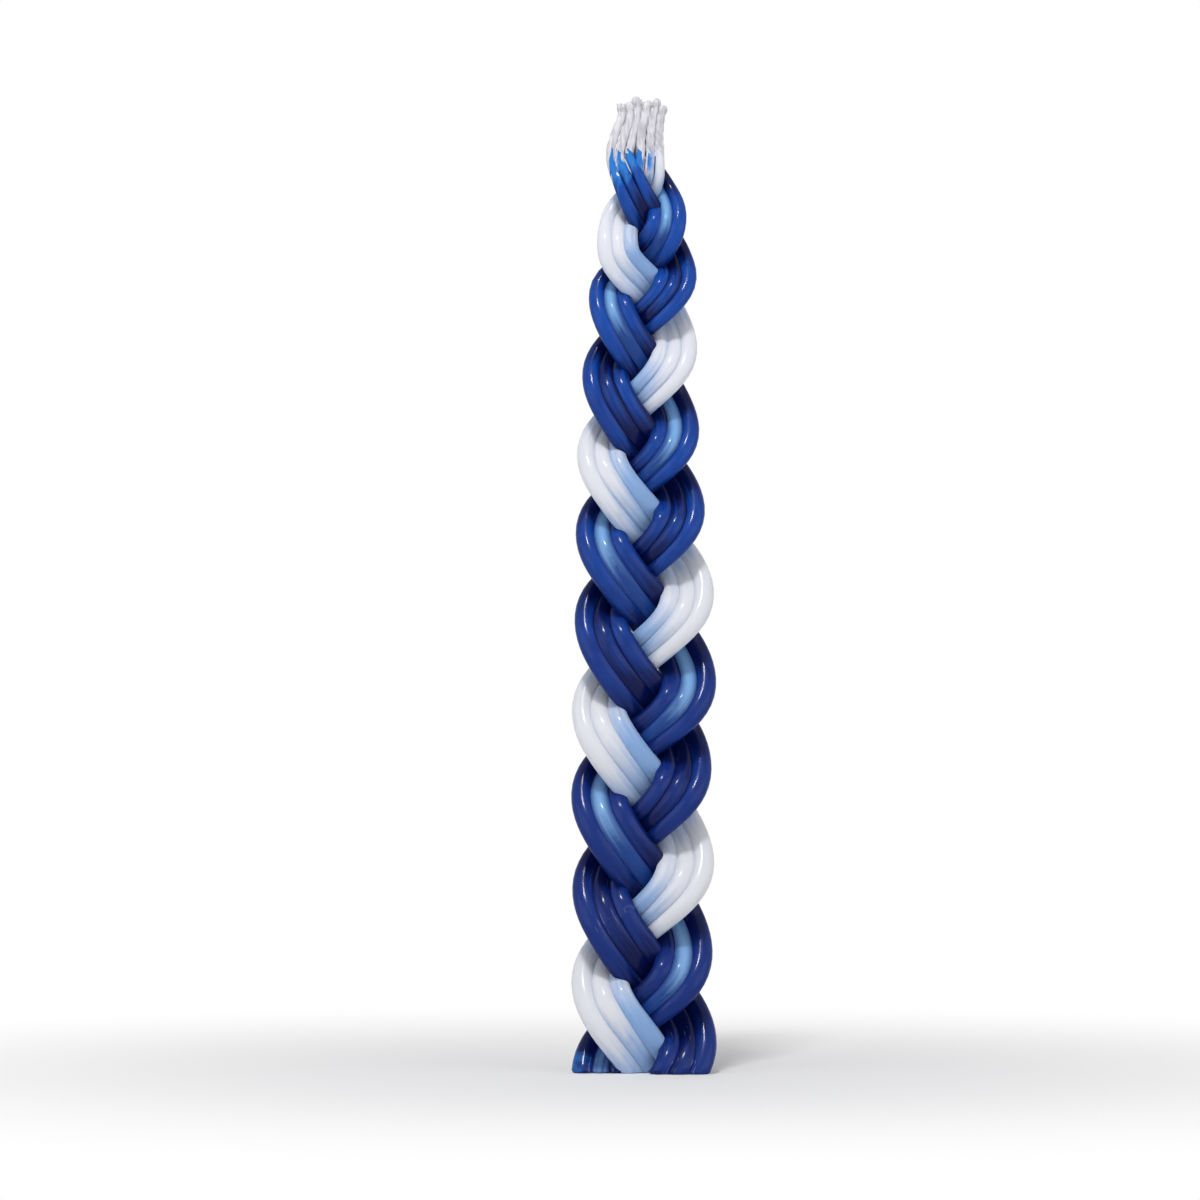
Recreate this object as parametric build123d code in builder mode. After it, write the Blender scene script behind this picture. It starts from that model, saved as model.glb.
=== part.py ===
from build123d import *
from itertools import combinations
import math
import os

# Havdalah candle: nine thin wax tapers laid in three flat strands of three and
# plaited into one flat candle. Every taper is cast on its own cotton wick.
# Millimetres, +Z up from the base the candle stands on, front of the plait towards -Y.

# Heights along the candle
WAX_HEIGHT = 284.0  # base to the points of the wax
WICK_SHOW = 15.5  # bare wick above the wax
NECK_HEIGHT = 276.0  # the plait starts turning about here
NECK_EASE = 8.0  # and comes up to its full pitch this far below

# Tapers and wicks
TAPER_BASE_DIAMETER = 5.7
TAPER_TIP_DIAMETER = 3.3
POINT_LENGTH = 20.0  # the wax thins towards the wick over this length
WAX_FILM = 0.4  # wax left around the wick at the point
WICK_DIAMETER = 2.0
WICK_CLEARANCE = 0.1  # all round, between a wick and its bore

# The plait
BASE_PITCH = 90.0  # one full turn of a strand at the base
NECK_PITCH = 63.0  # and at the neck
CROSSING_ROOM = 5.3  # a strand swings out this much more than half its own width
CROSSING_LIFT = 0.7  # and comes forward this much more than one taper
TAPER_GAP = 0.1  # between neighbours in one strand
STRAND_GAP = 0.2  # between strands where they press on each other
NECK_GATHER = 2.6  # the strands are drawn in this much above the neck
GATHER_LENGTH = 24.0
WICK_GATHER = 0.8  # and each bare wick comes this much closer to the next

# How finely the shapes are drawn
SECTION_STEP = 5.0
TAPER_SIDES = 12
WICK_SIDES = 6
MEASURE_STEP = 1.5
MEASURE_REACH = 15.0
DRAW_STEP = 0.5

# The three strands in the order they follow each other down the plait, and the
# three tapers of a strand from left to right.
STRANDS = ("blue", "white", "banded")
LANES = {"left": -1, "middle": 0, "right": 1}
HALF_STRAND = 0.5 * len(LANES) * TAPER_BASE_DIAMETER
SWING = HALF_STRAND + CROSSING_ROOM
DEPTH = TAPER_BASE_DIAMETER + CROSSING_LIFT
TOP = WAX_HEIGHT + WICK_SHOW
BASE_SPARE = HALF_STRAND  # tapers are laid this much longer, then trimmed flat
BORE_RADIUS = WICK_DIAMETER / 2 + WICK_CLEARANCE
POINT_RADIUS = BORE_RADIUS + WAX_FILM


def ramp(x, spread):
    """x where it is well above zero, 0 well below, and a smooth bend between."""
    if x <= -spread:
        return 0.0
    if x >= spread:
        return x
    return (x + spread) ** 2 / (4 * spread)


def blend(x, start, length):
    """0 before start, 1 a length later, smooth at both ends."""
    t = min(max((x - start) / length, 0.0), 1.0)
    return t * t * (3 - 2 * t)


def slimming(height):
    """Share of its base diameter that a taper still has at a height."""
    rise = min(max(height / WAX_HEIGHT, 0.0), 1.0)
    return 1 - (1 - TAPER_TIP_DIAMETER / TAPER_BASE_DIAMETER) * rise**3


def turns(height):
    """Turns of the plait between the neck and a height: the pitch grows downwards."""
    plaited = ramp(NECK_HEIGHT - height, NECK_EASE)
    growth = (BASE_PITCH**2 - NECK_PITCH**2) * plaited / NECK_HEIGHT
    return 2 * plaited / (NECK_PITCH + math.sqrt(NECK_PITCH**2 + growth))


def strand_line(strand, height):
    """Angle of a strand in its turn, and the x and y of its middle."""
    angle = 2 * math.pi * (turns(height) - STRANDS.index(strand) / len(STRANDS))
    gather = NECK_GATHER * blend(height, NECK_HEIGHT - NECK_EASE, GATHER_LENGTH)
    x = -(SWING * slimming(height) - gather) * math.cos(angle)
    y = -DEPTH * slimming(height) * math.sin(2 * angle)
    return angle, x, y


def taper_ring(strand, lane, height, press):
    """Centre and radius of one taper. Strands are squeezed at the middle of the plait."""
    angle, x, y = strand_line(strand, height)
    run = strand_line(strand, height + DRAW_STEP)[1] - strand_line(strand, height - DRAW_STEP)[1]
    lean = math.atan2(run, 2 * DRAW_STEP)
    diameter = TAPER_BASE_DIAMETER * slimming(height) * (1 - press * math.sin(angle) ** 2)
    drawn = WICK_GATHER * blend(height, WAX_HEIGHT - WICK_SHOW / 2, WICK_SHOW)
    aside = LANES[lane] * (diameter + TAPER_GAP - drawn)
    centre = (x + aside * math.cos(lean), y, height - aside * math.sin(lean))
    point = blend(height, WAX_HEIGHT - POINT_LENGTH, POINT_LENGTH)
    return centre, (1 - point) * diameter / 2 + point * POINT_RADIUS


def spread(low, high, step):
    """Even heights from low to high, a step or a little less apart."""
    count = math.ceil((high - low) / step)
    return [low + (high - low) * i / count for i in range(count + 1)]


def least_gap(press):
    """Least gap between tapers of different strands, measured on points."""
    heights = spread(-BASE_SPARE, WAX_HEIGHT, MEASURE_STEP)
    reach = round(MEASURE_REACH / MEASURE_STEP)
    rings = {
        (strand, lane): [taper_ring(strand, lane, h, press) for h in heights]
        for strand in STRANDS
        for lane in LANES
    }
    gap = DEPTH
    for one, other in combinations(rings, 2):
        if one[0] == other[0]:
            continue
        for i, (centre, radius) in enumerate(rings[one]):
            for near, near_radius in rings[other][max(i - reach, 0) : i + reach + 1]:
                gap = min(gap, math.dist(centre, near) - radius - near_radius)
    return gap


def press_that_clears():
    """The least squeeze that leaves the strands clear of each other."""
    low, high = 0.0, 0.7
    while high - low > 0.002:
        middle = (low + high) / 2
        if least_gap(middle) < STRAND_GAP:
            low = middle
        else:
            high = middle
    return high


PRESS = press_that_clears()
print(f"squeeze at the crossings {PRESS:.3f}, least gap {least_gap(PRESS):.2f} mm")


def section_plane(strand, lane, height):
    """Plane square to a taper, with its X axis kept near the plait's depth."""
    centre = Vector(*taper_ring(strand, lane, height, PRESS)[0])
    below = Vector(*taper_ring(strand, lane, height - DRAW_STEP, PRESS)[0])
    above = Vector(*taper_ring(strand, lane, height + DRAW_STEP, PRESS)[0])
    along = (above - below).normalized()
    return Plane(origin=centre, x_dir=Vector(0, 1, 0) - along * along.Y, z_dir=along)


def sections(strand, lane, heights, radius_at, sides):
    """Many-sided sections square to one taper, at each of the heights."""
    drawn = []
    for height in heights:
        with BuildSketch(section_plane(strand, lane, height)) as section:
            RegularPolygon(radius_at(height), sides)
        drawn.append(section.sketch)
    return drawn


os.makedirs("parts", exist_ok=True)
waxed = spread(-BASE_SPARE, WAX_HEIGHT, SECTION_STEP)
bare = spread(WAX_HEIGHT, TOP, SECTION_STEP)[1:]

for strand in STRANDS:
    for lane in LANES:
        # One taper: a long slim cone of wax with the bore that its wick fills.
        wax = sections(strand, lane, waxed, lambda h: taper_ring(strand, lane, h, PRESS)[1], TAPER_SIDES)
        bore = sections(strand, lane, waxed + bare, lambda h: BORE_RADIUS, WICK_SIDES)
        with BuildPart() as taper:
            loft(wax)
            loft(bore, mode=Mode.SUBTRACT)
            split(bisect_by=Plane.XY)
        taper.part.label = f"{strand}_taper_{lane}"
        export_step(taper.part, f"parts/{taper.part.label}.step")

        # Its wick: a cotton core from the base to the bare end above the wax.
        core = sections(strand, lane, waxed + bare, lambda h: WICK_DIAMETER / 2, WICK_SIDES)
        with BuildPart() as wick:
            loft(core)
            split(bisect_by=Plane.XY)
        wick.part.label = f"{strand}_wick_{lane}"
        export_step(wick.part, f"parts/{wick.part.label}.step")
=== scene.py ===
import bmesh
import bpy
import math
from mathutils import Matrix, Vector


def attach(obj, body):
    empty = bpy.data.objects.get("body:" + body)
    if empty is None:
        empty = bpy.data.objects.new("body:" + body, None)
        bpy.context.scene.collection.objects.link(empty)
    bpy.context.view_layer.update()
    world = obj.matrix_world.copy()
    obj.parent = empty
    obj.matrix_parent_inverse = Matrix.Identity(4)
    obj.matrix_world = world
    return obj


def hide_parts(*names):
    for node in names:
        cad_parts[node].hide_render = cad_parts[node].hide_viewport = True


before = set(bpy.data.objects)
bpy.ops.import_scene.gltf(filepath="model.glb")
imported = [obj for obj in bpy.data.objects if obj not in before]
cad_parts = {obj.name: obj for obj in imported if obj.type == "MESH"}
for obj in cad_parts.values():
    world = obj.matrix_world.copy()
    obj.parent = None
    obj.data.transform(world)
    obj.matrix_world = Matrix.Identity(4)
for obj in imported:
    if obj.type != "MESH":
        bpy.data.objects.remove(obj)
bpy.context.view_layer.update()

# Dark blue strand: three thin paraffin tapers, drawn on their wicks and dyed through.
# Laid side by side while warm they weld along their sides into one flat strand, which
# leads at the neck and crosses over the white strand first.
MM = 0.001
STRANDS = ("blue", "white", "banded")
LANES = {"left": -1, "middle": 0, "right": 1}

# Heights: the points of the wax, and the neck, where the plait starts to turn.
WAX_HEIGHT = 284 * MM
WAX_TOP = WAX_HEIGHT / MM  # in millimetres, as the materials count
NECK_HEIGHT = 278.5 * MM
NECK_EASE = 8 * MM
NECK_START = 240 * MM
NECK_LENGTH = 14 * MM

# One taper: it slims upwards, comes to a point at its wick and is welded to its neighbours.
TAPER_BASE = 5.7 * MM
SLIMMED_AWAY = 0.39
SLIMMING_POWER = 2.3
POINT_LENGTH = 20 * MM
POINT_RADIUS = 1.3 * MM
WELD = 1.24
LANE_PITCH = 0.94

# The base: tapers are laid longer, trimmed flat, rounded at the rim and dimpled at the wick.
BASE_SPARE = 9 * MM
BASE_EDGE = 0.8 * MM
DIMPLE_INSET = 0.8 * MM
DIMPLE_DEPTH = 1.2 * MM
BASE_INSETS = (
    (0.3 * BASE_EDGE, -0.6 * BASE_EDGE),
    (0.7 * BASE_EDGE, -0.4 * BASE_EDGE),
    (DIMPLE_INSET, DIMPLE_DEPTH),
)

# The plait: how far it goes in one turn, how deep it is and how its strands press on each other.
BASE_PITCH = 91 * MM
NECK_PITCH = 63 * MM
DEPTH = 6.0 * MM
RUN_SKEW = 0.2
TIGHT_RUN = 0.2
FLATTEN = 0.1
MIDDLE_SINK = 0.18
MIDDLE_LAG = 0.65
INNER_BANK = 1.3 * MM

# Where the hand laid it, as (height, value) in millimetres: how far out the strands swing, how
# much higher they lie than an even plait, and how far the whole candle sways.
SWING_LINE = (
    (0, 13.4), (10, 13.4), (35, 12.8), (62, 13.15), (88, 13.2), (117, 14.4),
    (145, 14.4), (170, 13.7), (195, 13.45), (219, 13.3), (245, 13.7), (300, 13.7),
)
LAID_HIGH = (
    (0, 1.2), (12, 1.6), (32, -0.3), (60, -0.9), (88, -0.7), (115, -1.5), (145, 0.0),
    (170, 0.8), (195, 0.4), (218, 1.2), (240, 1.6), (252, 0.4), (270, 0.0), (300, 0.0),
)
AXIS_SWAY = (
    (0, 0.2), (8, 0.2), (35, -0.4), (62, 0.0), (88, -0.7), (116, 0.1), (145, 0.4),
    (170, -0.8), (192, -1.5), (219, -0.9), (243, 0.0), (258, -0.6), (284, -0.5), (300, -0.5),
)

# The gathered neck: the line of each strand, its depth, and the pitch of the tapers in it.
NECK_LINES = {
    "blue": (
        (240, 9.7), (246, 9.6), (252, 8.0), (258, 4.5), (265, 0.2),
        (273, -3.7), (281, -6.75), (287, -5.55), (294, -3.6), (300, -5.0),
    ),
    "white": (
        (240, -2.8), (246, -5.8), (252, -7.3), (258, -7.2), (263, -6.0), (268, -2.4),
        (273, 1.5), (281, 2.6), (287, 2.6), (294, 3.6), (300, 5.4),
    ),
    "banded": (
        (240, -6.6), (246, -1.8), (252, 3.2), (258, 6.8), (265, 7.6),
        (273, 4.2), (278, 1.0), (284, -1.8), (294, 0.0), (300, 0.0),
    ),
}
NECK_DEPTH = {"blue": -0.6, "white": -1.1, "banded": 1.4}
NECK_PITCH_LINE = (
    (240, 4.3), (246, 4.2), (260, 3.9), (273, 3.5),
    (281, 3.12), (287, 2.95), (294, 2.5), (300, 2.9),
)

# The uneven hand: every taper wanders and swells a little in a slow and a quicker wave.
HAND_SHIFT = 0.12 * MM
HAND_SHIFT_LENGTH = 37 * MM
HAND_SWELL = 0.025
HAND_SWELL_LENGTH = 23 * MM
SWELL_NUMBER = 5  # keeps the swelling out of step with the wandering
SLOW_SHARE, SLOW_STEP = 0.6, 2.4
QUICK_SHARE, QUICK_STEP, QUICK_RATE = 0.4, 4.1, 1.73

# How finely tapers and wicks are drawn.
STATION = 1.6 * MM
RING_SIDES = 24
DRAW_STEP = 0.5 * MM


def ramp(x, spread):
    """x well above zero, 0 well below, and a smooth bend between."""
    if x <= -spread:
        return 0.0
    if x >= spread:
        return x
    return (x + spread) ** 2 / (4 * spread)


def ease(x, start, length):
    """0 before start, 1 a length later, smooth at both ends."""
    t = min(max((x - start) / length, 0.0), 1.0)
    return t * t * (3 - 2 * t)


def rise_and_fall(angle):
    """0 at the start of a turn, 1 half way round, and 0 again at its end."""
    return 0.5 - 0.5 * math.cos(angle)


def slimming(height):
    """Share of its base diameter that a taper still has at a height."""
    rise = min(max(height / WAX_HEIGHT, 0.0), 1.0)
    return 1 - SLIMMED_AWAY * rise**SLIMMING_POWER


def curve_through(points, height):
    """A smooth line through (height, value) points, both in millimetres."""
    level = height / MM
    last = len(points) - 2
    i = max(k for k in range(last + 1) if k == 0 or points[k][0] <= level)
    (h0, v0), (h1, v1) = points[i], points[i + 1]
    h_before, v_before = points[max(i - 1, 0)]
    h_after, v_after = points[min(i + 2, last + 1)]
    slope0 = (v1 - v_before) / (h1 - h_before)
    slope1 = (v_after - v0) / (h_after - h0)
    t = min(max((level - h0) / (h1 - h0), 0.0), 1.0)
    bend = (h1 - h0) * ((t**3 - 2 * t**2 + t) * slope0 + (t**3 - t**2) * slope1)
    return (v0 + (v1 - v0) * t * t * (3 - 2 * t) + bend) * MM


def strand_angle(strand, height):
    """How far a strand has gone round the plait, 0 at a left lobe."""
    plaited = ramp(NECK_HEIGHT - height + curve_through(LAID_HIGH, height), NECK_EASE)
    growth = (BASE_PITCH**2 - NECK_PITCH**2) * plaited / NECK_HEIGHT
    turns = 2 * plaited / (NECK_PITCH + math.sqrt(NECK_PITCH**2 + growth))
    angle = 2 * math.pi * (turns - STRANDS.index(strand) / len(STRANDS))
    return angle + RUN_SKEW * math.cos(angle)


def strand_middle(strand, height):
    """x and y of the middle of a strand."""
    angle = strand_angle(strand, height)
    x = -curve_through(SWING_LINE, height) * slimming(height) * math.cos(angle)
    y = -DEPTH * slimming(height) * math.sin(2 * angle)
    neck = ease(height, NECK_START, NECK_LENGTH)
    fan = ease(height, NECK_HEIGHT - NECK_EASE, 2 * NECK_EASE)
    x = (1 - neck) * x + neck * curve_through(NECK_LINES[strand], height)
    y = (1 - fan) * y + fan * NECK_DEPTH[strand] * MM
    return x + curve_through(AXIS_SWAY, height), y


def taper_number(strand, lane):
    """0 to 8, so that every taper and wick has a wave and a lay of its own."""
    return len(LANES) * STRANDS.index(strand) + LANES[lane] + 1


def hand_wave(number, height, length):
    """A slow uneven wave between -1 and 1, different for every number."""
    turn = 2 * math.pi * height / length
    slow = math.sin(turn + SLOW_STEP * number)
    quick = math.sin(QUICK_RATE * turn + QUICK_STEP * number)
    return SLOW_SHARE * slow + QUICK_SHARE * quick


def taper_frame(strand, lane, height):
    """Centre of a taper, its directions across and out of the strand, its half sizes, and how
    far its strand has gone round."""
    number = taper_number(strand, lane)
    side = LANES[lane]
    angle = strand_angle(strand, height)
    x, y = strand_middle(strand, height)
    x_above, y_above = strand_middle(strand, height + DRAW_STEP)
    x_below, y_below = strand_middle(strand, height - DRAW_STEP)
    lean = math.atan2(x_above - x_below, 2 * DRAW_STEP)
    along = Vector((x_above - x_below, y_above - y_below, 2 * DRAW_STEP)).normalized()
    across = Vector((math.cos(lean), 0, -math.sin(lean)))
    out = across.cross(along).normalized()

    tight = 1 - TIGHT_RUN * max(-math.sin(angle), 0.0) ** 2
    neck = ease(height, NECK_START, NECK_LENGTH)
    diameter = TAPER_BASE * slimming(height)
    width = (1 - neck) * diameter * tight + neck * curve_through(NECK_PITCH_LINE, height)
    bank = INNER_BANK * (1 - neck) * max(side * math.cos(angle), 0.0) * math.sin(2 * angle)
    shift = HAND_SHIFT * hand_wave(number, height, HAND_SHIFT_LENGTH)
    centre = Vector((x, y, height)) + across * (side * LANE_PITCH * width + shift) - out * bank

    point = ease(height, WAX_HEIGHT - POINT_LENGTH, POINT_LENGTH)
    swell = 1 + HAND_SWELL * hand_wave(number + SWELL_NUMBER, height, HAND_SWELL_LENGTH)
    half_width = (1 - point) * WELD * swell * width / 2 + point * POINT_RADIUS
    buried = (1 - abs(side)) * rise_and_fall(2 * angle - MIDDLE_LAG)
    flat = (1 - FLATTEN * math.sin(2 * angle) ** 2) * (1 - MIDDLE_SINK * buried)
    half_depth = (1 - point) * swell * flat * diameter / 2 + point * POINT_RADIUS
    return centre, across, out, half_width, half_depth, angle


def edges_in(geometry):
    """The edges among what a bmesh operator returns."""
    return [item for item in geometry if isinstance(item, bmesh.types.BMEdge)]


def new_row(grown):
    """Vertices of the row that an extrusion adds, and the edges that join them."""
    verts = [item for item in grown if isinstance(item, bmesh.types.BMVert)]
    return verts, [edge for edge in edges_in(grown) if all(vert in verts for vert in edge.verts)]


def draw_tube(bm, heights, ring_at, side):
    """Extrudes one ring of edges from height to height and closes both ends. Its vertices keep
    what the wax reads: around, along, how far a crossing or a neighbour covers them, and how far
    into a crease they lie, the last two for painted shade."""
    around = bm.verts.layers.float.new("around")
    along = bm.verts.layers.float.new("along")
    crossing = bm.verts.layers.float.new("crossing")
    crease = bm.verts.layers.float.new("crease")
    ring = bmesh.ops.create_circle(bm, segments=RING_SIDES, radius=1, cap_ends=False)["verts"]
    for vert in ring:
        vert[around] = math.atan2(vert.co.y, vert.co.x)
    edges = list({edge for vert in ring for edge in vert.link_edges})
    for height in heights:
        if height != heights[0]:
            ring, edges = new_row(bmesh.ops.extrude_edge_only(bm, edges=edges)["geom"])
        centre, across, out, half_width, half_depth, covered_front, covered_back = ring_at(height)
        for vert in ring:
            sideways, outwards = math.cos(vert[around]), math.sin(vert[around])
            vert.co = centre + across * half_width * sideways + out * half_depth * outwards
            vert[along] = height / MM
            facing = 0.5 + 0.5 * outwards
            vert[crossing] = facing * covered_front + (1 - facing) * covered_back
            if side == 0 or height > NECK_HEIGHT - NECK_EASE:
                vert[crease] = abs(sideways)
            else:
                vert[crease] = max(-side * sideways, 0.0)
    bmesh.ops.holes_fill(bm, edges=[edge for edge in bm.edges if edge.is_boundary], sides=0)


def even_heights(low, high, step):
    """Even heights from low to high, about a step apart."""
    count = round((high - low) / step)
    return [low + (high - low) * i / count for i in range(count + 1)]


def finish_piece(bm, name, node, material):
    """Makes the object, smooth all over, and puts it in the place of its CAD node."""
    bmesh.ops.recalc_face_normals(bm, faces=bm.faces)
    for face in bm.faces:
        face.smooth = True
    mesh = bpy.data.meshes.new(name)
    bm.to_mesh(mesh)
    bm.free()
    mesh.materials.append(material)
    piece = bpy.data.objects.new(name, mesh)
    bpy.context.scene.collection.objects.link(piece)
    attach(piece, "root")
    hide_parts(node)


def trim_base(bm, level):
    """Cuts a tube off flat at a level near the base and closes it there."""
    cut = bmesh.ops.bisect_plane(
        bm,
        geom=bm.verts[:] + bm.edges[:] + bm.faces[:],
        plane_co=(0, 0, level),
        plane_no=(0, 0, 1),
        clear_inner=True,
    )
    return bmesh.ops.holes_fill(bm, edges=edges_in(cut["geom_cut"]), sides=0)["faces"]


INNER_LAG = 0.8
FOOT_HEIGHT = 14 * MM


def make_taper(strand, lane, material, lag, inner=0.0, sunk=0.0, foot=0.0):
    """One taper, trimmed flat at the base with a dimple where its wick ends. How far it is
    covered sets the painted shade of its wax: lag says where in its turn it is least covered;
    inner, sunk and foot how much more it is covered on the inside of the turn, everywhere, and at
    the base, which paints it darker there. Seen from behind, the plait runs the other way up."""

    def covered(angle, height):
        turned_in = inner * LANES[lane] * math.cos(angle - INNER_LAG)
        at_foot = foot * (1 - ease(height, 0, FOOT_HEIGHT))
        return rise_and_fall(2 * angle - lag) + turned_in + sunk + at_foot

    def ring_at(height):
        *ring, angle = taper_frame(strand, lane, height)
        return *ring, covered(angle, height), covered(-angle, height)

    bm = bmesh.new()
    draw_tube(bm, even_heights(-BASE_SPARE, WAX_HEIGHT, STATION), ring_at, LANES[lane])
    base = trim_base(bm, BASE_EDGE)
    for inset, rise in BASE_INSETS:
        bmesh.ops.inset_region(bm, faces=base, thickness=inset)
        for face in base:
            bmesh.ops.translate(bm, verts=face.verts, vec=(0, 0, rise))
    finish_piece(bm, f"{strand}_{lane}_wax", f"{strand}_taper_{lane}", material)


class Ink:
    """A socket of a material. Arithmetic on it adds Math nodes; node() adds any other."""

    def __init__(self, tree, socket=None):
        self.tree = tree
        self.socket = socket

    def node(self, kind, settings=None, inputs=None, output=0):
        made = self.tree.nodes.new(kind)
        for name, value in (settings or {}).items():
            setattr(made, name, value)
        for name, value in (inputs or {}).items():
            if isinstance(value, Ink):
                self.tree.links.new(value.socket, made.inputs[name])
            else:
                made.inputs[name].default_value = value
        return Ink(self.tree, made.outputs[output] if made.outputs else None)

    def maths(self, operation, first, second):
        return self.node("ShaderNodeMath", {"operation": operation}, {0: first, 1: second})

    def __add__(self, other):
        return self.maths("ADD", self, other)

    __radd__ = __add__

    def __sub__(self, other):
        return self.maths("SUBTRACT", self, other)

    def __rsub__(self, other):
        return self.maths("SUBTRACT", other, self)

    def __mul__(self, other):
        return self.maths("MULTIPLY", self, other)

    __rmul__ = __mul__

    def either_way(self, amount):
        """A share of 0 to 1 as a change of half the amount down or up."""
        return (self - 0.5) * amount

    def between(self, low, high):
        """0 below low, 1 above high, smooth between."""
        inputs = {"Value": self, "From Min": low, "From Max": high}
        return self.node("ShaderNodeMapRange", {"interpolation_type": "SMOOTHSTEP"}, inputs)

    def mix(self, first, second):
        """A colour between two, by this share of the second. A Mix node has sockets for each
        kind of value, and 6, 7 and 2 are those for colours."""
        inputs = {0: self, 6: first, 7: second}
        return self.node("ShaderNodeMix", {"data_type": "RGBA"}, inputs, output=2)


def new_material(name):
    """An empty material and the Ink that adds its nodes."""
    material = bpy.data.materials.new(name)
    material.use_nodes = True
    tree = material.node_tree
    tree.nodes.clear()
    return material, Ink(tree)


def own_place(ink):
    """The place on a piece, in metres."""
    return ink.node("ShaderNodeTexCoord", output="Object")


def kept_on(ink, layer):
    """A value that draw_tube kept on the vertices."""
    return ink.node("ShaderNodeAttribute", {"attribute_name": layer}, output="Fac")


def noise(ink, place, scale, detail):
    """Soft noise from 0 to 1."""
    inputs = {"Vector": place, "Scale": scale, "Detail": detail}
    return ink.node("ShaderNodeTexNoise", None, inputs)


def stretched(ink, place, scale):
    """A place scaled by a factor for each axis, so that noise on it draws out."""
    return ink.node("ShaderNodeMapping", None, {"Vector": place, "Scale": scale})


COTTON = (0.76, 0.75, 0.79)
COTTON_CREASE = (0.50, 0.49, 0.54)
FIBRE_STRETCH = (1500, 1500, 160)
FIBRE_RANGE = (0.3, 0.65)


def cotton_look(ink, place):
    """Colour of cotton fibres, and the fibres themselves as a height."""
    fibres = noise(ink, stretched(ink, place, FIBRE_STRETCH), scale=1.0, detail=4.0)
    return fibres.between(*FIBRE_RANGE).mix((*COTTON_CREASE, 1), (*COTTON, 1)), fibres


# Wax tone: cloudy all over, streaked along the taper and lighter towards the points; painted
# shade where strands cross and in the creases, blotched by noise.
CLOUD_SCALE, CLOUD_TONE = 110.0, 0.7
STREAK_SCALE, STREAK_TONE, STREAK_RUN = 7.0, 0.5, 0.012
SHADE_BLOTCH_SCALE, SHADE_BLOTCH_TONE = 2.2, 0.9
HEIGHT_TONE_RANGE = (0.25, 1.05)

# Wear low down: dull scuffs along the tapers, and a smear across the left of the base.
SCUFF = (0.40, 0.38, 0.52)
SCUFF_STRETCH = (0.07, 7, 3)
SCUFF_RANGE = (0.66, 0.72)
SCUFFED_HEIGHT = (30, 70)
SCUFF_SHARE = 0.45
SMEAR_SLANT = 0.4
SMEAR_RANGE = (-6, -3)
SMEAR_CLOUDS = (0.46, 0.56)
SMEAR_SHARE = 0.45

# The points: the dye thins, one splash of it is on the left of the neck, and the cotton shows
# through, first at the far left and in the creases.
SKY_POINT = (0.020, 0.190, 0.600)
SOAK_STRETCH = (450, 450, 45)
THIN_SOAK = 24
THIN_RANGE = (WAX_TOP - 11, WAX_TOP - 4)
SPLASH_HEIGHT = (274, 279)
SPLASH_SIDE = (0, 3)
SPLASH_CLOUDS = 12
RUBBED_SIDE, RUBBED_RISE = (-11, -8.6), 9
RUBBED_CREASE, RUBBED_SOAK, RUBBED_FIBRES = 6, 34, 14
BARE_RANGE = (WAX_TOP, WAX_TOP + 3)

# Skin of the wax: soft dents under a thin satin gloss, and matt where the cotton shows.
GRAIN_SCALE = 1100.0
STREAK_DENT, GRAIN_DENT = 0.35, 0.12
DENT_STRENGTH, DENT_DEPTH = 0.35, 0.35 * MM
WAX_ROUGHNESS, CLOUD_ROUGHNESS, BARE_ROUGHNESS = 0.22, 0.16, 0.4


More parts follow.
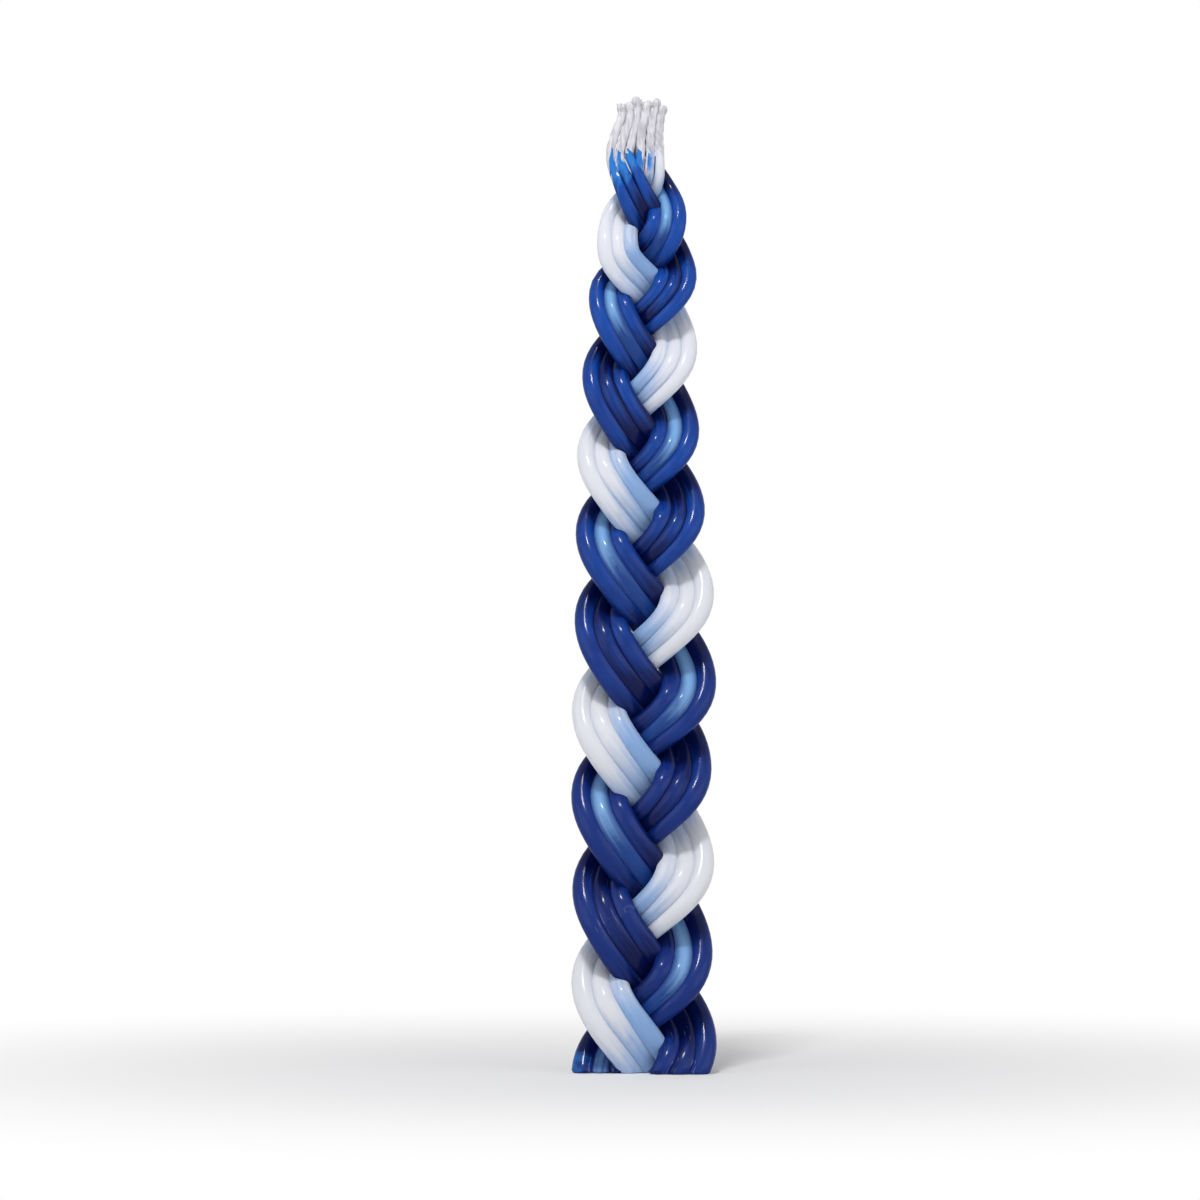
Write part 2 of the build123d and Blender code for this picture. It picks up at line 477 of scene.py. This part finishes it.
def wax_material(name, upper, lower, shade_colour, shade_range, crease_shade, point, scatter):
    """Satin wax, going from the lower colour at the base to the upper colour near the points,
    with painted shade: over the shade range of cover a crossing takes the shade colour, the
    crease pair says from where and how much a crease takes it as painted crease shade, point is
    the colour near the wick, and scatter how milky it is."""
    material, ink = new_material(name)
    place = own_place(ink)
    side = ink.node("ShaderNodeSeparateXYZ", None, {0: place}) * (1 / MM)
    along = kept_on(ink, "along")
    crossing = kept_on(ink, "crossing")
    crease = kept_on(ink, "crease")
    around = kept_on(ink, "around")
    clouds = noise(ink, place, scale=CLOUD_SCALE, detail=3.0)
    grain = noise(ink, place, scale=GRAIN_SCALE, detail=2.0)
    turned = {
        "X": around.maths("SINE", around, 0),
        "Y": around.maths("COSINE", around, 0),
        "Z": along * STREAK_RUN + clouds,
    }
    drawn = ink.node("ShaderNodeCombineXYZ", None, turned)
    streaks = noise(ink, drawn, scale=STREAK_SCALE, detail=3.0)
    shade_blotches = noise(ink, drawn, scale=SHADE_BLOTCH_SCALE, detail=4.0)

    # Darker towards the base and lighter towards the points, with random clouds and streaks.
    tone = along * (1 / WAX_TOP) + clouds.either_way(CLOUD_TONE) + streaks.either_way(STREAK_TONE)
    colour = tone.between(*HEIGHT_TONE_RANGE).mix((*lower, 1), (*upper, 1))
    # Painted shade: where a crossing or a neighbour covers the wax, and in the creases between
    # tapers, the colour goes to the shade colour, blotched by noise.
    painted_shade_share = (crossing + shade_blotches.either_way(SHADE_BLOTCH_TONE)).between(*shade_range)
    colour = painted_shade_share.mix(colour, (*shade_colour, 1))
    crease_start, crease_share = crease_shade
    colour = (crease.between(crease_start, 1.0) * crease_share).mix(colour, (*shade_colour, 1))

    run, fine, drift = SCUFF_STRETCH
    scuff_axes = {"X": along * run, "Y": crease * fine, "Z": clouds * drift}
    scuff_place = ink.node("ShaderNodeCombineXYZ", None, scuff_axes)
    scratches = noise(ink, scuff_place, scale=1.0, detail=2.0)
    low = 1 - along.between(*SCUFFED_HEIGHT)
    colour = (scratches.between(*SCUFF_RANGE) * low * SCUFF_SHARE).mix(colour, (*SCUFF, 1))
    corner = 1 - (along + side * SMEAR_SLANT).between(*SMEAR_RANGE)
    smear = corner * clouds.between(*SMEAR_CLOUDS) * SMEAR_SHARE
    colour = smear.mix(colour, (*point, 1))

    soak = noise(ink, stretched(ink, place, SOAK_STRETCH), scale=1.0, detail=3.0)
    thinned = (along + soak.either_way(THIN_SOAK)).between(*THIN_RANGE)
    colour = thinned.mix(colour, (*point, 1))
    left = 1 - (side + clouds.either_way(SPLASH_CLOUDS)).between(*SPLASH_SIDE)
    colour = (along.between(*SPLASH_HEIGHT) * left).mix(colour, (*SKY_POINT, 1))
    cotton_colour, fibres = cotton_look(ink, place)
    rubbed = (1 - side.between(*RUBBED_SIDE)) * RUBBED_RISE + crease * RUBBED_CREASE
    rubbed = rubbed + soak.either_way(RUBBED_SOAK) + fibres.either_way(RUBBED_FIBRES)
    bare = (along + rubbed).between(*BARE_RANGE)
    colour = bare.mix(colour, cotton_colour)

    skin = clouds + streaks * STREAK_DENT + grain * GRAIN_DENT
    dents = {"Strength": DENT_STRENGTH, "Distance": DENT_DEPTH, "Height": skin}
    surface = {
        "Base Color": colour,
        "Roughness": WAX_ROUGHNESS + clouds * CLOUD_ROUGHNESS + bare * BARE_ROUGHNESS,
        "Normal": ink.node("ShaderNodeBump", None, dents),
        "IOR": 1.44,
        "Subsurface Weight": scatter,
        "Subsurface Radius": (1.0, 1.0, 1.0),
        "Subsurface Scale": 1.5 * MM,
        "Specular IOR Level": 0.05,
        "Coat Weight": 0.24,
        "Coat Roughness": 0.12,
    }
    shader = ink.node("ShaderNodeBsdfPrincipled", None, surface)
    ink.node("ShaderNodeOutputMaterial", None, {"Surface": shader})
    return material


BLUE_UPPER = (0.006, 0.066, 0.365)
BLUE_LOWER = (0.007, 0.028, 0.190)
# Painted shade: the blue turns near-black navy where a crossing covers it, more on the inside of
# a turn and on the sunken middle taper, and in the creases between tapers.
BLUE_PAINTED_SHADE = (0.002, 0.006, 0.068)
BLUE_LAG = 1.3
BLUE_INNER = 0.12
BLUE_MIDDLE_SUNK = 0.32
blue_wax = wax_material(
    "dark_blue_wax",
    upper=BLUE_UPPER,
    lower=BLUE_LOWER,
    shade_colour=BLUE_PAINTED_SHADE,
    shade_range=(0.14, 0.74),
    crease_shade=(0.65, 0.6),
    point=SKY_POINT,
    scatter=0.05,
)
for lane in LANES:
    sunk = BLUE_MIDDLE_SUNK if lane == "middle" else 0.0
    make_taper("blue", lane, blue_wax, lag=BLUE_LAG, inner=BLUE_INNER, sunk=sunk)

# White strand: three undyed tapers, milky and more see-through than the blue ones.
# Where the strands cross, on the inside of a turn and in the creases, blue light reflected from
# the blue strands and shade are painted on them.
WHITE_UPPER = (0.73, 0.75, 0.82)
WHITE_LOWER = (0.72, 0.73, 0.78)
WHITE_PAINTED_BLUE_SHADE = (0.25, 0.41, 0.70)
WHITE_LAG = 0.65
WHITE_INNER = {"left": 0.25, "middle": 0.45, "right": 0.65}
white_wax = wax_material(
    "white_wax",
    upper=WHITE_UPPER,
    lower=WHITE_LOWER,
    shade_colour=WHITE_PAINTED_BLUE_SHADE,
    shade_range=(0.05, 1.05),
    crease_shade=(0.3, 0.15),
    point=WHITE_UPPER,
    scatter=0.35,
)
for lane in LANES:
    make_taper("white", lane, white_wax, lag=WHITE_LAG, inner=WHITE_INNER[lane])

# Banded strand: a light blue taper welded between two dark blue ones. The light blue taper takes
# painted shade where its neighbours cover it and across its creases, keeps its own colour on the
# outside of a turn, and is darker at the base.
LIGHT_UPPER = (0.185, 0.395, 0.720)
LIGHT_LOWER = (0.200, 0.385, 0.670)
LIGHT_PAINTED_SHADE = (0.014, 0.058, 0.260)
LIGHT_LAG = -0.1
LIGHT_FOOT = 0.45
light_wax = wax_material(
    "light_blue_wax",
    upper=LIGHT_UPPER,
    lower=LIGHT_LOWER,
    shade_colour=LIGHT_PAINTED_SHADE,
    shade_range=(0.08, 0.85),
    crease_shade=(0.05, 1.0),
    point=SKY_POINT,
    scatter=0.2,
)
make_taper("banded", "left", blue_wax, lag=BLUE_LAG, inner=BLUE_INNER)
make_taper("banded", "middle", light_wax, lag=LIGHT_LAG, foot=LIGHT_FOOT)
make_taper("banded", "right", blue_wax, lag=BLUE_LAG, inner=BLUE_INNER)

# Wicks: soft cotton cords, twisted from three plies and dipped with their tapers, so
# they are white and a little stiff. They run right through and stand bare at the top.
WICK_SHOW = 15.5 * MM
WICK_RADIUS = 1.43 * MM
BURIED_RADIUS = 1.0 * MM
BARE_START = WAX_HEIGHT - 7 * MM
BARE_LENGTH = 7 * MM
WICK_PLIES = 3
PLY_TURN = 9 * MM
PLY_START = WAX_HEIGHT - 8 * MM
PLY_STEP = PLY_TURN / 24
PLY_EASE = 6 * MM
PLY_GROOVE = 0.12

# The tips are rounded, and each ends at a height of its own.
TIP_BELOW = 0.8 * MM
TIP_VARY = 1.5 * MM
TIP_NUMBER_STEP = 2.7
TIP_ROUNDING = 1.3 * MM
TIP_REACH = 1.45 * MM

# Loose fibres stand out of each tip.
FRAY_COUNT = 11
FRAY_LENGTH = 2.6 * MM
FRAY_DEPTH = 2.9 * MM
FRAY_TURN = 2.4
FRAY_RING = 0.7
FRAY_LEAN, FRAY_LEAN_VARY = 0.15, 0.3
FRAY_LEAN_STEP, FRAY_NUMBER_STEP = 0.37, 0.21
FRAY_SIDES = 5
FRAY_ROOT, FRAY_END = 0.16 * MM, 0.07 * MM
UP = Vector((0, 0, 1))


def cotton_material(name):
    """Matt cotton: fine fibres along the twist and grey in the creases."""
    material, ink = new_material(name)
    colour, fibres = cotton_look(ink, own_place(ink))
    fluff = {"Strength": 0.3, "Distance": 0.15 * MM, "Height": fibres}
    surface = {
        "Base Color": colour,
        "Roughness": 0.85,
        "Normal": ink.node("ShaderNodeBump", None, fluff),
        "Sheen Weight": 0.2,
        "Subsurface Weight": 0.5,
        "Subsurface Radius": (1.0, 1.0, 1.0),
        "Subsurface Scale": 2 * MM,
    }
    shader = ink.node("ShaderNodeBsdfPrincipled", None, surface)
    ink.node("ShaderNodeOutputMaterial", None, {"Surface": shader})
    return material


def make_wick(strand, lane, material):
    """One wick, from the base to a soft tip that ends at its own height."""
    number = taper_number(strand, lane)
    below = TIP_BELOW + TIP_VARY * (0.5 + 0.5 * math.sin(TIP_NUMBER_STEP * number))
    tip = WAX_HEIGHT + WICK_SHOW - below

    def ring_at(height):
        centre, across, out = taper_frame(strand, lane, height)[:3]
        bare = ease(height, BARE_START, BARE_LENGTH)
        past = max(height - tip + TIP_ROUNDING, 0.0)
        rounding = math.sqrt(max(1 - (past / TIP_REACH) ** 2, 0.0))
        radius = ((1 - bare) * BURIED_RADIUS + bare * WICK_RADIUS) * rounding
        return centre, across, out, radius, radius, 0.0, 0.0

    bm = bmesh.new()
    heights = even_heights(-BASE_SPARE, PLY_START, STATION)
    heights += even_heights(PLY_START, tip, PLY_STEP)[1:]
    draw_tube(bm, heights, ring_at, LANES[lane])
    trim_base(bm, 0)

    around = bm.verts.layers.float["around"]
    along = bm.verts.layers.float["along"]
    for vert in bm.verts:
        height = vert[along] * MM
        lay = WICK_PLIES * (vert[around] - 2 * math.pi * height / PLY_TURN - number)
        groove = PLY_GROOVE * ease(height, BARE_START, PLY_EASE) * rise_and_fall(lay)
        middle = taper_frame(strand, lane, height)[0]
        vert.co = middle + (vert.co - middle) * (1 - groove)

    head = taper_frame(strand, lane, tip - FRAY_DEPTH)[0]
    for i in range(FRAY_COUNT):
        turn = FRAY_TURN * i + number
        aside = Vector((math.cos(turn), math.sin(turn), 0))
        vary = (FRAY_LEAN_STEP * i + FRAY_NUMBER_STEP * number) % 1
        lean = (UP + aside * (FRAY_LEAN + FRAY_LEAN_VARY * vary)).normalized()
        middle = head + aside * FRAY_RING * WICK_RADIUS + lean * FRAY_LENGTH / 2
        tilt = UP.rotation_difference(lean).to_matrix().to_4x4()
        bmesh.ops.create_cone(
            bm,
            cap_ends=True,
            segments=FRAY_SIDES,
            radius1=FRAY_ROOT,
            radius2=FRAY_END,
            depth=FRAY_LENGTH,
            matrix=Matrix.Translation(middle) @ tilt,
        )
    finish_piece(bm, f"{strand}_{lane}_cotton", f"{strand}_wick_{lane}", material)


cotton = cotton_material("twisted_cotton")
for strand in STRANDS:
    for lane in LANES:
        make_wick(strand, lane, cotton)

# Studio: a pale sweep of paper that the candle stands on, a small lamp above the front, a
# large soft lamp at each side, and a camera straight in front at half the candle's height.
PAPER = (0.9, 0.9, 0.91)
PAPER_ROUGHNESS = 0.9
SWEEP_HALF = 3.0
SWEEP_BACK = 1.2
SWEEP_RADIUS = 0.5
SWEEP_STEPS = 24
SHADOW_REACH = (0.04, 0.35)
WHITE_LIGHT = (1, 1, 1, 1)
ROOM_STRENGTH = 0.33


def seen_share(ink):
    """1 for what the camera sees, also in gloss or through wax, 0 for what only lights."""
    camera_ray = ink.node("ShaderNodeLightPath", output="Is Camera Ray")
    glossy_ray = ink.node("ShaderNodeLightPath", output="Is Glossy Ray")
    return camera_ray + glossy_ray + ink.node("ShaderNodeLightPath", output="Is Transmission Ray")


paper_bm = bmesh.new()
front_left = paper_bm.verts.new((-SWEEP_HALF, -SWEEP_HALF, 0))
front_right = paper_bm.verts.new((SWEEP_HALF, -SWEEP_HALF, 0))
front_edge = paper_bm.edges.new((front_left, front_right))
floor = bmesh.ops.extrude_edge_only(paper_bm, edges=[front_edge])["geom"]
floor_verts, floor_edges = new_row(floor)
bmesh.ops.translate(paper_bm, verts=floor_verts, vec=(0, SWEEP_HALF + SWEEP_BACK, 0))
bend = bmesh.ops.spin(
    paper_bm,
    geom=floor_verts + floor_edges,
    cent=(0, SWEEP_BACK, SWEEP_RADIUS),
    axis=(1, 0, 0),
    angle=math.radians(90),
    steps=SWEEP_STEPS,
)["geom_last"]
wall = bmesh.ops.extrude_edge_only(paper_bm, edges=edges_in(bend))["geom"]
wall_verts = new_row(wall)[0]
bmesh.ops.translate(paper_bm, verts=wall_verts, vec=(0, 0, SWEEP_HALF))
for face in paper_bm.faces:
    face.smooth = True
paper_mesh = bpy.data.meshes.new("paper_sweep")
paper_bm.to_mesh(paper_mesh)
paper_bm.free()

paper_material, ink = new_material("pale_paper")
matt_white = {"Base Color": (*PAPER, 1), "Roughness": PAPER_ROUGHNESS}
away = ink.node("ShaderNodeVectorMath", {"operation": "LENGTH"}, {0: own_place(ink)}, "Value")
whiter = {
    "Fac": seen_share(ink) * away.between(*SHADOW_REACH),
    1: ink.node("ShaderNodeBsdfPrincipled", None, matt_white),
    2: ink.node("ShaderNodeEmission", None, {"Color": WHITE_LIGHT, "Strength": 1.0}),
}
paper_shader = ink.node("ShaderNodeMixShader", None, whiter)
ink.node("ShaderNodeOutputMaterial", None, {"Surface": paper_shader})
paper_mesh.materials.append(paper_material)
paper = bpy.data.objects.new("paper_sweep", paper_mesh)
bpy.context.scene.collection.objects.link(paper)

world = bpy.data.worlds.new("soft_room")
world.use_nodes = True
world.node_tree.nodes.clear()
ink = Ink(world.node_tree)
room_shares = {
    "Fac": seen_share(ink),
    1: ink.node("ShaderNodeBackground", None, {"Color": WHITE_LIGHT, "Strength": ROOM_STRENGTH}),
    2: ink.node("ShaderNodeBackground", None, {"Color": WHITE_LIGHT, "Strength": 1.0}),
}
room = ink.node("ShaderNodeMixShader", None, room_shares)
ink.node("ShaderNodeOutputWorld", None, {"Surface": room})
bpy.context.scene.world = world


def soft_lamp(name, place, target, size, power):
    """A square soft box that looks at a point of the candle."""
    light = bpy.data.lights.new(name, "AREA")
    light.size = size
    light.energy = power
    lamp = bpy.data.objects.new(name, light)
    lamp.location = place
    lamp.rotation_euler = (Vector(target) - Vector(place)).to_track_quat("-Z", "Y").to_euler()
    bpy.context.scene.collection.objects.link(lamp)


soft_lamp("key_lamp", place=(-0.15, -0.8, 1.45), target=(0, 0, 0.16), size=0.2, power=11)
soft_lamp("left_lamp", place=(-1.5, -1.3, 0.5), target=(0, 0, 0.15), size=2.0, power=12.4)
soft_lamp("right_lamp", place=(1.5, -1.3, 0.4), target=(0, 0, 0.15), size=2.0, power=12.4)

# The camera's frame, in pixels of the photograph and metres to a pixel.
PHOTO_SIDE = 1200
SCALE = 0.3067 * MM
CANDLE_MIDDLE = 643.5
CANDLE_FOOT = 1073
CAMERA_BACK = 2.0
SENSOR_WIDTH = 36
camera_data = bpy.data.cameras.new("front_camera")
camera_data.sensor_width = SENSOR_WIDTH
camera_data.lens = SENSOR_WIDTH * CAMERA_BACK / (PHOTO_SIDE * SCALE)
camera = bpy.data.objects.new("front_camera", camera_data)
camera_side = (PHOTO_SIDE / 2 - CANDLE_MIDDLE) * SCALE
camera_height = (CANDLE_FOOT - PHOTO_SIDE / 2) * SCALE
camera.location = (camera_side, -CAMERA_BACK, camera_height)
camera.rotation_euler = (math.radians(90), 0, 0)
bpy.context.scene.collection.objects.link(camera)
bpy.context.scene.camera = camera
bpy.context.scene.view_settings.view_transform = "Standard"
